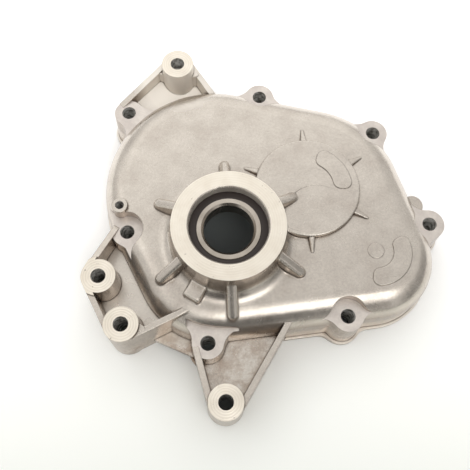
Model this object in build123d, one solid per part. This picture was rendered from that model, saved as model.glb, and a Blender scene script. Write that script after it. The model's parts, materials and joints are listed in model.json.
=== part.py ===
from build123d import *
import os
from math import atan2, cos, degrees, hypot, pi, radians, sin, sqrt, tan

# Die-cast end case of a three-shaft gearbox, lying on its mating face.
# Millimetres. The output hub's axis is Z, and the mating face is z = 0.

# Outer wall: a belt drawn around four circles at the mating face, each as x, y and radius
gear_chamber = (-8.7, 39.3, 72.0)
layshaft_chamber = (50.0, 33.3, 65.9)
input_chamber = (90.6, -7.7, 39.8)
sump_chamber = (-7.5, -9.5, 50.8)
main_face_height = 38.0
shoulder_radius = 17.0
wall = 4.5
wall_draft = 2.0
lip_width = 1.5
lip_height = 4.0

# Flange ears, with clearance holes for M8 bolts
ears = {
    "upper_left": (-66.8, 92.5),
    "top": (21.5, 105.4),
    "upper_right": (97.4, 78.1),
    "right": (128.6, 12.8),
    "lower_right": (72.4, -46.8),
    "bottom": (-12.1, -62.9),
    "left": (-63.4, 7.0),
}
ear_height = 30.0
ear_radius = 9.5
ear_draft = 2.5
ear_blend = 12.0
ear_overlap = 0.3
bolt_hole = 9.0
dowel_ears = ("upper_left", "lower_right")
dowel_diameter = 12.0
dowel_depth = 8.0

# Cast lobe beside the right ear: x, y, radius and height
lobe = (119.4, 26.2, 6.7, 28.5)

# Pockets over the ears, which let a bolt's head reach the ear's face
pocket_gap = 1.2
pocket_corner = 7.0
long_pockets = ("left", "lower_right")
long_pocket_corner = 11.0
pocket_step = 1.0
bottom_pocket = [(-24.9, -49.0), (-16.6, -52.0), (-7.4, -53.6), (6.3, -54.1), (6.3, -76.0), (-24.9, -76.0)]
bottom_ear_flat = -21.7
bottom_ear_corner = -64.5

# Mounting bosses at the ends of the brackets, each as x, y and face height
boss_top = (-34.0, 122.2, 43.9)
boss_left = (-78.3, -23.6, 37.4)
boss_lower_left = (-62.8, -53.3, 39.7)
boss_bottom = (-1.4, -97.2, 34.5)
boss_radius = 10.5
boss_draft = 1.6
boss_step = 1.0
facing_radius = 12.3
rib_width = 3.6
rib_draft = 1.0
web_thickness = 5.0

# Where the bracket ribs and webs end on the case, and how high they lie
top_rib_end = (-9.0, 105.0)
top_rib_drop = 4.4
top_web_corner = (-40.0, 85.0)
top_bracket_bottom = 12.0
top_web_height = 22.0
top_web_rise = 20.0
top_web_inset = 8.0
brace_end = (-24.0, -43.5)
gusset_reach = 3.6
gusset_drop = 3.0
left_web_height = 17.0
side_plate_height = 9.0
side_plate_corner = (-48.8, -56.3)
side_plate_end = (-21.6, -67.9)
bottom_rib_end = (38.4, -47.0)
bottom_web_corner = (0.0, -50.0)
bottom_web_height = 13.5

# Output hub, with an oil seal's seat in front of the bearing
hub_radius = 33.8
hub_height = 63.0
hub_draft = 1.5
hub_foot_radius = 9.0
hub_rib_count = 6
hub_rib_angle = 33.0
hub_rib_width = 6.4
hub_rib_start = 28.0
hub_rib_reach = 51.4
hub_rib_drop = 5.0
hub_rib_end_height = 1.6
hub_rib_rounding = 2.4
seal_seat_diameter = 47.0
seal_seat_depth = 7.0
seal_seat_chamfer = 0.9

# Raised disc over the layshaft's bearing
disc_radius = 33.0
disc_height = 4.0
disc_rib_angles = (32.0, 92.0, 160.0, 212.0, 272.0, 332.0)
disc_rib_width = 4.4
disc_rib_tip_width = 1.6
disc_rib_length = 9.5
disc_rib_drop = 0.6
disc_rib_end_height = 0.6
disc_rib_rounding = 0.7
disc_edge_radius = 1.0

# Shallow dish in the disc, which runs out to nothing on its right
dish = (55.5, 14.0, 20.5)
dish_margin = 2.5
dish_depth = 0.35
dish_tilt = 0.6

# Flat pads cast on the outside: a curved slot of two radii between two angles
pad_height = 0.5
pad_corner = 4.5
disc_pad = (16.6, 28.0, -3.0, 72.0)
input_pad = (11.2, 22.2, -100.0, 30.0)
round_pad_radius = 5.0
round_pad_height = 0.3

# Breather boss and square lug
breather_boss = (-67.7, 21.4)
breather_radius = 4.9
breather_hole = 5.3
breather_height = 39.5
breather_hole_end = 28.0
lug_angle = 240.0
lug_width = 11.0
lug_height = 44.0
lug_start = 30.0
lug_end = 45.0
lug_foot = 49.0
lug_foot_drop = 2.0
lug_rounding = 1.6
lug_foot_rise = 1.5

# How deep raised features reach into the wall below them
root = 3.0

# Bearings: bore, outside diameter, width, ball diameter, ball count and corner chamfer
output_bearing = (30.0, 55.0, 13.0, 7.144, 11, 1.3)
layshaft_bearing = (25.0, 52.0, 15.0, 7.938, 9, 1.0)
input_bearing = (17.0, 40.0, 12.0, 6.747, 8, 0.8)
shoulder_share = 0.3
ring_edge = 0.2
ball_play = 0.05
cage_sheet = 0.8
cage_ball_play = 0.1
cage_ring_play = 0.3
rivet_diameter = 1.2
rivet_hole_play = 0.1
rivet_head_diameter = 1.9
rivet_head_height = 0.5
seal_recess = 1.0
seal_recess_depth = 1.7
seal_thickness = 1.0
seal_inset = 0.4
seal_play = 0.15

# Bearing seats inside the case
pocket_wall = 6.0
pocket_floor = 5.0
pocket_overhang = 1.0
relief_depth = 1.0
relief_land = 3.0
inner_rib_width = 4.0
inner_rib_height = 26.0

# Internal circlip behind the output bearing
circlip_width = 2.0
circlip_depth = 1.0
circlip_play = 0.15
circlip_section = 3.4
circlip_offset = 0.5
circlip_gap = 7.0
circlip_lug_radius = 3.0
circlip_lug_hole = 2.5
circlip_lug_inset = 3.9

low_base = (Align.CENTER, Align.CENTER, Align.MIN)


def belt(circles, offset=0.0):
    """The face inside the outer tangents of circles that are listed counter-clockwise."""
    rings = [(x, y, r + offset) for x, y, r in circles]
    normals = []
    for (x1, y1, r1), (x2, y2, r2) in zip(rings, rings[1:] + rings[:1]):
        dx, dy = x2 - x1, y2 - y1
        span = hypot(dx, dy)
        lean = (r1 - r2) / span
        side = sqrt(1 - lean * lean)
        normals.append(((lean * dx + side * dy) / span, (lean * dy - side * dx) / span))
    edges = []
    for i, (x, y, r) in enumerate(rings):
        nx0, ny0 = normals[i - 1]
        nx1, ny1 = normals[i]
        size = hypot(nx0 + nx1, ny0 + ny1)
        start = (x + r * nx0, y + r * ny0)
        middle = (x + r * (nx0 + nx1) / size, y + r * (ny0 + ny1) / size)
        end = (x + r * nx1, y + r * ny1)
        edges.append(ThreePointArc(start, middle, end))
        x2, y2, r2 = rings[(i + 1) % len(rings)]
        edges.append(Line(end, (x2 + r2 * nx1, y2 + r2 * ny1)))
    return make_face(Wire(edges))


chambers = [input_chamber, layshaft_chamber, gear_chamber, sump_chamber]
ear_level_inset = (
    shoulder_radius
    - sqrt(shoulder_radius**2 - (ear_height - main_face_height + shoulder_radius) ** 2)
    + main_face_height * tan(radians(wall_draft))
)


def cylinder(x, y, radius, bottom, top):
    return Pos(x, y, bottom) * Cylinder(radius, top - bottom, align=low_base)


def polygon(points):
    return make_face(Polyline(*points, close=True))


def shell_solid(offset, height, radius):
    """The chambers' drafted block with a large rounded shoulder."""
    block = extrude(belt(chambers, offset), height, taper=wall_draft)
    return fillet(block.edges().group_by(Axis.Z)[-1], radius)


def round_inward(outline, radius):
    """Round an outline's inward corners by growing it and shrinking it again."""
    grown = offset(outline, radius, kind=Kind.ARC)
    return offset(grown, -radius, kind=Kind.ARC)


def eared_outline(inset, radius, blend):
    """The belt joined to a circle at each ear, with its inward corners rounded."""
    outline = belt(chambers, -inset)
    for x, y in ears.values():
        outline += Pos(x, y) * Circle(radius)
    return round_inward(outline, blend)


def ear_block():
    """The ears and their webs, up to the machined ear faces."""
    growth = ear_height * tan(radians(ear_draft))
    inset = ear_level_inset + ear_overlap - growth
    outline = eared_outline(inset, ear_radius + growth, ear_blend - growth)
    x, y = ears["bottom"]
    flat = polygon([
        (bottom_ear_flat, bottom_pocket[0][1]), (bottom_ear_flat, bottom_ear_corner),
        (x, bottom_ear_corner), (x, bottom_pocket[0][1]),
    ])
    return extrude(outline, ear_height, taper=ear_draft) + extrude(flat, ear_height)


def side_lobe():
    """The cast lobe that joins the right ear to the wall above it."""
    x, y, radius, height = lobe
    foot = radius + height * tan(radians(ear_draft))
    return Pos(x, y) * Cone(foot, radius, height, align=low_base)


def ear_pocket(name):
    """What a cutter clears above an ear's face, where the ear reaches into the shoulder."""
    x, y = ears[name]
    radius = ear_radius + pocket_gap
    field = Pos(x, y) * Rectangle(4 * radius, 4 * radius)
    outside = field - belt(chambers, pocket_step - ear_level_inset)
    if name == "bottom":
        region = outside + polygon(bottom_pocket)
    else:
        corner = long_pocket_corner if name in long_pockets else pocket_corner
        region = round_inward(outside + Pos(x, y) * Circle(radius), corner)
    return Pos(0, 0, ear_height) * extrude(region, main_face_height - ear_height + root)


def boss(centre, bottom=0.0):
    """A drafted round boss below a machined face."""
    x, y, top = centre
    foot = boss_radius + (top - bottom) * tan(radians(boss_draft))
    return Pos(x, y, bottom) * Cone(foot, boss_radius, top - bottom, align=low_base)


def rib(start, end, start_height, end_height, bottom=0.0):
    """A drafted upright wall between two plan points, with a sloping top."""
    (x0, y0), (x1, y1) = start, end
    length = hypot(x1 - x0, y1 - y0)
    turn = degrees(atan2(y1 - y0, x1 - x0))
    top = max(start_height, end_height)
    place = Pos(x0, y0) * Rot(0, 0, turn)
    growth = 2 * (top - bottom) * tan(radians(rib_draft))
    foot = rib_width + growth
    plan = Pos(length / 2, 0, bottom) * Rectangle(length + growth, foot)
    upright = extrude(plan, top - bottom, taper=rib_draft)
    side = polygon([
        (-growth, bottom), (length + growth, bottom), (length + growth, end_height),
        (-growth, start_height),
    ])
    profile = extrude(Plane.XZ * side, foot, both=True)
    return place * (upright & profile)


def tangent_line(first, first_radius, second, second_radius, side):
    """The centre line of a rib whose outer face touches two circles on one side."""
    (x0, y0), (x1, y1) = first[:2], second[:2]
    dx, dy = x1 - x0, y1 - y0
    span = hypot(dx, dy)
    lean = (first_radius - second_radius) / span
    across = side * sqrt(1 - lean * lean)
    nx, ny = (lean * dx - across * dy) / span, (lean * dy + across * dx) / span
    near, far = first_radius - rib_width / 2, second_radius - rib_width / 2
    return (x0 + near * nx, y0 + near * ny), (x1 + far * nx, y1 + far * ny)


def gusset(start, end, centre, bottom, top):
    """Fills the corner between a boss and the inner face of the rib that leaves it at the end."""
    cx, cy = centre[:2]
    span = hypot(start[0] - end[0], start[1] - end[1])
    ax, ay = (start[0] - end[0]) / span, (start[1] - end[1]) / span
    inward = boss_radius - rib_width / 2
    nx, ny = (cx - end[0]) / inward, (cy - end[1]) / inward
    corner = sqrt(boss_radius**2 - (boss_radius - rib_width) ** 2)
    turn = atan2(boss_radius - rib_width, corner) - gusset_reach / boss_radius

    def spot(along, across):
        return end[0] + ax * along + nx * across, end[1] + ay * along + ny * across

    points = [
        spot(corner, 0),
        spot(corner + gusset_reach, 0),
        spot(corner + gusset_reach, rib_width / 2),
        spot(boss_radius * cos(turn), inward - boss_radius * sin(turn)),
        (cx, cy),
    ]
    return Pos(0, 0, bottom) * extrude(polygon(points), top - bottom)


def faced_end(line, centre):
    """The part of a rib that the cutter faces together with its boss."""
    x, y, top = centre
    return rib(*line, top, top) & cylinder(x, y, facing_radius, 0, top)


def plate(points, top):
    """A level web between ribs."""
    return Pos(0, 0, top - web_thickness) * extrude(polygon(points), web_thickness)


def top_bracket():
    """The arm that carries the top boss: two ribs and a web that climbs to the boss."""
    ear = ears["upper_left"]
    top = boss_top[2] - top_rib_drop
    left = tangent_line(ear, ear_radius, boss_top, boss_radius, 1)
    right = tangent_line(boss_top, boss_radius, top_rib_end, rib_width / 2, 1)
    arm = boss(boss_top, top_bracket_bottom)
    arm += rib(*left, ear_height, top, top_bracket_bottom)
    arm += rib(*right, top, ear_height, top_bracket_bottom)
    gusset_top = top - gusset_drop
    arm += gusset(*left, boss_top, top_bracket_bottom, gusset_top)
    arm += gusset(right[1], right[0], boss_top, top_bracket_bottom, gusset_top)
    gx, gy, chamber_radius = gear_chamber
    bx, by, _ = boss_top
    reach = hypot(bx - gx, by - gy) + boss_radius
    turn = degrees(atan2(by - gy, bx - gx))
    start = chamber_radius - top_web_inset
    rise = tan(radians(top_web_rise))
    low = top_web_height - top_web_inset * rise
    high = low + (reach - start) * rise
    slope = polygon([
        (start, low - web_thickness), (reach, high - web_thickness), (reach, high), (start, low),
    ])
    slab = extrude(Plane.XZ * slope, boss_top[1] / 2, both=True)
    outline = polygon([left[0], left[1], right[0], right[1], top_web_corner])
    web = extrude(outline, main_face_height) & (Pos(gx, gy) * Rot(0, 0, turn) * slab)
    return arm + web


def left_bracket():
    """The two left bosses with their ribs and web."""
    ear = ears["left"]
    a_top = boss_left[2] - boss_step
    b_top = boss_lower_left[2] - 2 * boss_step
    arm = boss(boss_left) + boss(boss_lower_left)
    upper = tangent_line(ear, ear_radius, boss_left, boss_radius, -1)
    outer = tangent_line(boss_left, boss_radius, boss_lower_left, boss_radius, -1)
    lower = tangent_line(boss_lower_left, boss_radius, brace_end, rib_width / 2, -1)
    arm += rib(*upper, ear_height, a_top)
    arm += rib(*outer, a_top, a_top)
    arm += faced_end(upper, boss_left) + faced_end(outer, boss_left)
    arm += rib(*lower, b_top, main_face_height - boss_step)
    arm += gusset(lower[1], lower[0], boss_lower_left, 0, b_top)
    arm += plate([upper[0], upper[1], outer[0], outer[1], lower[0], lower[1], ear], left_web_height)
    side = [lower[0], side_plate_corner, side_plate_end, ears["bottom"], lower[1]]
    return arm + plate(side, side_plate_height)


def bottom_bracket():
    """The bottom boss with two ribs and a web."""
    ear = ears["bottom"]
    top = boss_bottom[2] - boss_step
    left = tangent_line(ear, ear_radius, boss_bottom, boss_radius, -1)
    right = tangent_line(boss_bottom, boss_radius, bottom_rib_end, rib_width / 2, -1)
    arm = boss(boss_bottom)
    arm += rib(*left, ear_height, top)
    arm += rib(*right, top, ear_height + boss_step)
    return arm + plate([left[0], left[1], right[0], right[1], bottom_web_corner], bottom_web_height)


def hub():
    """The output hub, with a hollow foot where it meets the main face."""
    side = hub_height - main_face_height
    foot = hub_radius + side * tan(radians(hub_draft))
    sink = main_face_height - root
    start = (foot + hub_foot_radius, main_face_height)
    end = (foot - hub_foot_radius * tan(radians(hub_draft)), main_face_height + hub_foot_radius)
    knee = hub_foot_radius * (1 - cos(pi / 4))
    middle = (foot + knee, main_face_height + knee)
    profile = [
        Line((0, sink), (start[0], sink)),
        Line((start[0], sink), start),
        ThreePointArc(start, middle, end),
        Line(end, (hub_radius, hub_height)),
        Line((hub_radius, hub_height), (0, hub_height)),
        Line((0, hub_height), (0, sink)),
    ]
    return revolve(Plane.XZ * make_face(Wire(profile)), Axis.Z)


def fin(centre, angle, widths, reaches, heights, rounding):
    """A radial rib on the main face, round-nosed and round-topped, lower and narrower outwards."""
    width, tip = widths
    inner, outer = reaches
    high, low = heights
    sink = main_face_height - root
    ends = (Pos(inner, 0) * Circle(width / 2)).edges() + (Pos(outer, 0) * Circle(tip / 2)).edges()
    plan = make_hull(ends)
    side = polygon([(inner, sink), (outer + tip, sink), (outer + tip, low), (inner, high)])
    block = Pos(0, 0, sink) * extrude(plan, high - sink)
    body = block & extrude(Plane.XZ * side, width, both=True)
    crest = body.faces().sort_by(Axis.Z)[-1].edges().filter_by(lambda e: e.center().X > inner + rounding)
    return Pos(centre[0], centre[1]) * Rot(0, 0, angle) * fillet(crest, rounding)


def hub_ribs():
    widths = (hub_rib_width, hub_rib_width)
    reaches = (hub_rib_start, hub_rib_reach - hub_rib_width / 2)
    heights = (hub_height - hub_rib_drop, main_face_height + hub_rib_end_height)
    ribs = []
    for i in range(hub_rib_count):
        angle = hub_rib_angle + 360 / hub_rib_count * i
        ribs.append(fin((0, 0), angle, widths, reaches, heights, hub_rib_rounding))
    return ribs


def disc_boss():
    """The raised disc with its short pointed ribs and the shallow dish in its face."""
    x, y, _ = layshaft_chamber
    top = main_face_height + disc_height
    body = cylinder(x, y, disc_radius, main_face_height - root, top)
    body = fillet(body.edges().group_by(Axis.Z)[-1], disc_edge_radius)
    dish_x, dish_y, dish_radius = dish
    outline = Pos(dish_x, dish_y) * Circle(dish_radius)
    outline &= Pos(x, y) * Circle(disc_radius - dish_margin)
    reach = 2 * dish_radius
    floor_end = dish_depth - reach * tan(radians(dish_tilt))
    section = polygon([
        (0, top - dish_depth), (reach, top - floor_end), (reach, top + root), (0, top + root),
    ])
    space = Pos(dish_x - dish_radius, dish_y) * extrude(Plane.XZ * section, reach, both=True)
    body -= space & (Pos(0, 0, main_face_height) * extrude(outline, 2 * disc_height))
    widths = (disc_rib_width, disc_rib_tip_width)
    reaches = (disc_radius - root, disc_radius + disc_rib_length - disc_rib_tip_width / 2)
    heights = (top - disc_rib_drop, main_face_height + disc_rib_end_height)
    for angle in disc_rib_angles:
        body += fin((x, y), angle, widths, reaches, heights, disc_rib_rounding)
    return body


def on_circle(radius, angle):
    return radius * cos(radians(angle)), radius * sin(radians(angle))


def curved_pad(centre, size, bottom):
    """A low pad in the shape of a curved slot with rounded corners."""
    inner, outer, first, last = size
    middle = (first + last) / 2
    slot = make_face(Wire([
        ThreePointArc(on_circle(outer, first), on_circle(outer, middle), on_circle(outer, last)),
        Line(on_circle(outer, last), on_circle(inner, last)),
        ThreePointArc(on_circle(inner, last), on_circle(inner, middle), on_circle(inner, first)),
        Line(on_circle(inner, first), on_circle(outer, first)),
    ]))
    slot = fillet(slot.vertices(), pad_corner)
    return Pos(centre[0], centre[1], bottom) * extrude(slot, pad_height)


def lug():
    """The square lug below the hub, in line with the hub's axis, with a sloping foot."""
    length, height = lug_end - lug_start, lug_height - ear_height
    block = Box(length, lug_width, height, align=(Align.MIN, Align.CENTER, Align.MIN))
    outer = block.edges().filter_by(lambda e: e.center().X > length / 2 - 1 and e.center().Z > 1)
    block = Pos(lug_start, 0, ear_height) * fillet(outer, lug_rounding)
    foot = polygon([
        (lug_start, ear_height), (lug_foot, ear_height), (lug_foot, main_face_height - lug_foot_drop),
        (lug_end - lug_rounding, main_face_height + lug_foot_rise),
    ])
    block += extrude(Plane.XZ * foot, lug_width / 2 - lug_rounding, both=True)
    return Rot(0, 0, lug_angle) * block


def inner_rib(start, ear):
    """A low rib under the main wall, from a bearing seat to the column around a bolt hole."""
    (x0, y0), (x1, y1) = start, ear
    length = hypot(x1 - x0, y1 - y0) - ear_radius - pocket_gap - wall / 2
    turn = degrees(atan2(y1 - y0, x1 - x0))
    height = main_face_height - root - inner_rib_height
    block = Box(length, inner_rib_width, height, align=(Align.MIN, Align.CENTER, Align.MIN))
    return Pos(x0, y0, inner_rib_height) * Rot(0, 0, turn) * block


def bearing_pocket(centre, bearing, top):
    """A blind seat: the housing to add, and the bore with its relief to cut."""
    x, y, _ = centre
    radius = bearing[1] / 2
    low = top - bearing[2] - pocket_overhang
    housing = cylinder(x, y, radius + pocket_wall, low, top + root)
    bore = cylinder(x, y, radius, 0, top)
    bore += cylinder(x, y, radius - relief_land, top - relief_depth, top + relief_depth)
    return housing, bore


layshaft_bearing_top = main_face_height + disc_height - pocket_floor
input_bearing_top = main_face_height - wall
output_bearing_top = hub_height - seal_seat_depth


def case_casting():
    case = shell_solid(0.0, main_face_height, shoulder_radius)
    for name in ears:
        case -= ear_pocket(name)
    case += ear_block()
    case += side_lobe()
    growth = ear_height * tan(radians(ear_draft))
    lip = eared_outline(-lip_width, ear_radius + growth + lip_width, ear_blend - growth)
    case += extrude(lip, lip_height)
    case += top_bracket()
    case += left_bracket()
    case += bottom_bracket()
    case += hub()
    for piece in hub_ribs():
        case += piece
    case += disc_boss()
    case += lug()
    case += curved_pad(layshaft_chamber, disc_pad, main_face_height + disc_height)
    case += curved_pad(input_chamber, input_pad, main_face_height)
    ix, iy, _ = input_chamber
    pad_low, pad_top = main_face_height - root, main_face_height + round_pad_height
    case += cylinder(ix, iy, round_pad_radius, pad_low, pad_top)
    case += cylinder(*breather_boss, breather_radius, ear_height, breather_height)

    cavity = shell_solid(-wall, main_face_height - wall, shoulder_radius - wall)
    column_radius = ear_radius + pocket_gap + wall
    for x, y in ears.values():
        cavity -= cylinder(x, y, column_radius, 0, main_face_height)
    case -= cavity
    ribs = []
    hub_edge = output_bearing[1] / 2
    for name in ("left", "bottom", "upper_left"):
        x, y = ears[name]
        start = (x * hub_edge / hypot(x, y), y * hub_edge / hypot(x, y))
        ribs.append(inner_rib(start, ears[name]))
    for name in ("top", "upper_right"):
        ribs.append(inner_rib(layshaft_chamber[:2], ears[name]))
    for name in ("right", "lower_right"):
        ribs.append(inner_rib(input_chamber[:2], ears[name]))
    middle = wall / 2
    core = shell_solid(-middle, main_face_height - middle, shoulder_radius - middle)
    for piece in ribs:
        case += piece & core
    seats = [
        bearing_pocket(layshaft_chamber, layshaft_bearing, layshaft_bearing_top),
        bearing_pocket(input_chamber, input_bearing, input_bearing_top),
    ]
    for housing, _ in seats:
        case += housing
    for _, bore in seats:
        case -= bore

    bore_radius = output_bearing[1] / 2
    groove_top = output_bearing_top - output_bearing[2]
    groove_low = groove_top - circlip_width - circlip_play
    seat_radius = seal_seat_diameter / 2
    case -= cylinder(0, 0, bore_radius, 0, output_bearing_top)
    case -= cylinder(0, 0, bore_radius + circlip_depth, groove_low, groove_top)
    case -= cylinder(0, 0, seat_radius, output_bearing_top, hub_height)
    mouth = Cone(
        seat_radius, seat_radius + seal_seat_chamfer, seal_seat_chamfer,
        align=(Align.CENTER, Align.CENTER, Align.MAX),
    )
    case -= Pos(0, 0, hub_height) * mouth

    for name, (x, y) in ears.items():
        case -= cylinder(x, y, bolt_hole / 2, 0, main_face_height)
        if name in dowel_ears:
            case -= cylinder(x, y, dowel_diameter / 2, 0, dowel_depth)
    for x, y, top in (boss_top, boss_left, boss_lower_left, boss_bottom):
        case -= cylinder(x, y, bolt_hole / 2, 0, top)
    case -= cylinder(*breather_boss, breather_hole / 2, breather_hole_end, breather_height)
    return case


def pitch_radius(bearing):
    return (bearing[0] + bearing[1]) / 4


def groove(bearing):
    """The ball track, as a ring a little thicker than the balls."""
    return Torus(pitch_radius(bearing), bearing[3] / 2 + ball_play)


def turned(points):
    """A ring turned from half a section, given as radius and height pairs."""
    return revolve(Plane.XZ * polygon(points), Axis.Z)


# The bearing's parts are made with the ball centres at height zero

def inner_ring(bearing):
    bore, _, width, ball, _, corner = bearing
    inner, land, half = bore / 2, pitch_radius(bearing) - shoulder_share * ball, width / 2
    ring = turned([
        (inner, corner - half), (inner + corner, -half), (land - ring_edge, -half),
        (land, ring_edge - half), (land, half - ring_edge), (land - ring_edge, half),
        (inner + corner, half), (inner, half - corner),
    ])
    return ring - groove(bearing)


def outer_ring(bearing, sealed):
    _, outside, width, ball, _, corner = bearing
    outer, land, half = outside / 2, pitch_radius(bearing) + shoulder_share * ball, width / 2
    ring = turned([
        (outer, corner - half), (outer - corner, -half), (land + ring_edge, -half),
        (land, ring_edge - half), (land, half - ring_edge), (land + ring_edge, half),
        (outer - corner, half), (outer, half - corner),
    ])
    if sealed:
        for bottom in (-half, half - seal_recess_depth):
            ring -= cylinder(0, 0, land + seal_recess, bottom, bottom + seal_recess_depth)
    return ring - groove(bearing)


def around(bearing, piece, shift=0.0):
    """One copy of a piece for each ball of the bearing."""
    count = bearing[4]
    return [Rot(0, 0, 360 / count * (i + shift)) * piece for i in range(count)]


def ball_set(bearing):
    ball = Pos(pitch_radius(bearing), 0, 0) * Sphere(bearing[3] / 2)
    return Compound(children=around(bearing, ball))


def cage_half(bearing):
    """The upper half of a pressed cage: a flat ribbon with a round cup over each ball."""
    ball = bearing[3] / 2 + cage_ball_play
    pitch = pitch_radius(bearing)
    reach = shoulder_share * bearing[3] - cage_ring_play
    tall = ball + cage_sheet
    band = cylinder(0, 0, pitch + reach, 0, tall) - cylinder(0, 0, pitch - reach, 0, tall)
    ribbon = cylinder(0, 0, pitch + reach, 0, cage_sheet)
    for cup in around(bearing, Pos(pitch, 0, 0) * Sphere(ball + cage_sheet)):
        ribbon += cup
    half = ribbon & band
    for space in around(bearing, Pos(pitch, 0, 0) * Sphere(ball)):
        half -= space
    hole = cylinder(pitch, 0, (rivet_diameter + rivet_hole_play) / 2, 0, cage_sheet)
    for space in around(bearing, hole, 0.5):
        half -= space
    return half


def rivet_set(bearing):
    pitch = pitch_radius(bearing)
    head = cage_sheet + rivet_head_height
    rivet = cylinder(pitch, 0, rivet_diameter / 2, -head, head)
    rivet += cylinder(pitch, 0, rivet_head_diameter / 2, cage_sheet, head)
    rivet += cylinder(pitch, 0, rivet_head_diameter / 2, -head, -cage_sheet)
    return Compound(children=around(bearing, rivet, 0.5))


def seal(bearing):
    """The front seal: a thin rubber-covered disc, thickest at its two edges."""
    half, ball, pitch = bearing[2] / 2, bearing[3], pitch_radius(bearing)
    lip = pitch - shoulder_share * ball + seal_play
    rim = pitch + shoulder_share * ball + seal_recess
    top, low = half - seal_inset, half - seal_recess_depth
    return turned([
        (lip, low), (lip + seal_thickness, low + seal_play), (rim - seal_thickness, low + seal_play),
        (rim - seal_thickness, low), (rim, low), (rim, top - seal_play),
        (rim - seal_thickness, top), (lip + seal_thickness, top), (lip, top - seal_play),
    ])


def circlip():
    """A ring for bores with an opening and two lugs, widest opposite the opening."""
    outer = output_bearing[1] / 2 + circlip_depth - circlip_play / 2
    lug_radius = outer - circlip_lug_inset
    lug_turn = degrees((circlip_gap / 2 + circlip_lug_radius) / lug_radius)
    ring = Circle(outer) - Pos(circlip_offset, 0) * Circle(outer - circlip_section)
    ring -= Pos(outer, 0) * Rectangle(outer, circlip_gap)
    for angle in (-lug_turn, lug_turn):
        lug_centre = Pos(*on_circle(lug_radius, angle))
        ring += lug_centre * Circle(circlip_lug_radius)
        ring -= lug_centre * Circle(circlip_lug_hole / 2)
    return extrude(ring, circlip_width)


def bearing_nodes(name, bearing, centre, top, sealed):
    """Every piece of one bearing at its place, by node name."""
    place = Pos(centre[0], centre[1], top - bearing[2] / 2)
    cage = cage_half(bearing)
    nodes = {
        "outer_ring": outer_ring(bearing, sealed),
        "inner_ring": inner_ring(bearing),
        "balls": ball_set(bearing),
        "cage_front": cage,
        "cage_rear": mirror(cage, Plane.XY),
        "rivets": rivet_set(bearing),
    }
    if sealed:
        nodes["front_seal"] = seal(bearing)
        nodes["rear_seal"] = mirror(nodes["front_seal"], Plane.XY)
    return {f"{name}_bearing_{part}": place * shape for part, shape in nodes.items()}


if __name__ == "__main__":
    nodes = {"case_casting": case_casting()}
    nodes |= bearing_nodes("output", output_bearing, (0, 0), output_bearing_top, True)
    nodes |= bearing_nodes("layshaft", layshaft_bearing, layshaft_chamber, layshaft_bearing_top, False)
    nodes |= bearing_nodes("input", input_bearing, input_chamber, input_bearing_top, False)
    ring_bottom = output_bearing_top - output_bearing[2] - circlip_width
    nodes["output_bearing_circlip"] = Pos(0, 0, ring_bottom) * circlip()
    os.makedirs("parts", exist_ok=True)
    for name, shape in nodes.items():
        export_step(shape, f"parts/{name}.step")
        print(name, len(shape.solids()), round(shape.volume, 1), shape.is_valid)
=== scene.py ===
import json
import math

import bmesh
import bpy
from mathutils import Matrix, Vector


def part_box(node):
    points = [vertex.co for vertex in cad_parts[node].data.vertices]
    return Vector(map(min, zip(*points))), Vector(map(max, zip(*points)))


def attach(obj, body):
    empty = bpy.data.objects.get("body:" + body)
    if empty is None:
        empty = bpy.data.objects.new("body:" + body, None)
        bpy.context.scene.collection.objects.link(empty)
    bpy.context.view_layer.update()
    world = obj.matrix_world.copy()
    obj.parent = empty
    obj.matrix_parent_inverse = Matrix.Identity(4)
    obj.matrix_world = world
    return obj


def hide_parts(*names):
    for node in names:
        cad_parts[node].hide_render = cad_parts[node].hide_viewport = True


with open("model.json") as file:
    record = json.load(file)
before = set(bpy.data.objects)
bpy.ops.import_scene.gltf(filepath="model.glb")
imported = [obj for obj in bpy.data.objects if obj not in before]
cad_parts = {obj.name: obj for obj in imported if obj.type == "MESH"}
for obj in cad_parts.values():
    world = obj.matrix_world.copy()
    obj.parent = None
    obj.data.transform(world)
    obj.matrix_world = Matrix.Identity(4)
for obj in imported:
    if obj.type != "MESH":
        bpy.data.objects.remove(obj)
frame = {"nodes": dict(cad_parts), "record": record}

bl_info = {
    "name": "Transmission case",
    "version": (1, 0, 0),
    "blender": (4, 5, 0),
    "location": "3D View > Sidebar > Case",
    "description": "Dresses the frame of a die-cast gearbox end case with its metals, bearings and stage",
    "category": "Object",
}

MM = 0.001
CASE = "case_casting"
BEARINGS = ("output", "layshaft", "input")
BALL_COUNTS = {"output": 11, "layshaft": 9, "input": 8}

# Bolt holes of the seven flange ears, and of the four mounting bosses with their heights, in millimetres
EARS = (
    (-66.8, 92.5), (21.5, 105.4), (97.4, 78.1), (128.6, 12.8), (72.4, -46.8), (-12.1, -62.9), (-63.4, 7.0),
)
BOSSES = {
    "top": (-34.0, 122.2, 43.9), "left": (-78.3, -23.6, 37.4),
    "lower left": (-62.8, -53.3, 39.7), "bottom": (-1.4, -97.2, 34.5),
}
EAR_HEIGHT = 30.0
HUB_HEIGHT = 63.0

EAR_HOLES = [(x * MM, y * MM) for x, y in EARS]
HOLES = EAR_HOLES + [(x * MM, y * MM) for x, y, _ in BOSSES.values()]
FACED_LEVELS = [z * MM for z in (0.0, EAR_HEIGHT, *(boss[2] for boss in BOSSES.values()), HUB_HEIGHT)]
BOLT_HOLE_RADIUS = 4.5 * MM
DOWEL_HOLE_RADIUS = 6.0 * MM

# A faced surface is the mating face below the first height, and the hub's above the second
MATING_FACE_BELOW = 1 * MM
HUB_ABOVE = 55 * MM

# Points nearer than this are one, and faces that bend less than this are one
MERGE_DISTANCE = 0.001 * MM
FLAT_ANGLE = math.radians(0.5)

# How square and how near a face lies to a faced level, and to a bored wall
LEVEL_NORMAL = 0.9999
LEVEL_SLACK = 0.02 * MM
UPRIGHT_NORMAL = 0.02
RADIUS_SLACK = 0.15 * MM
SPOKE_MATCH = 0.97

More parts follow.
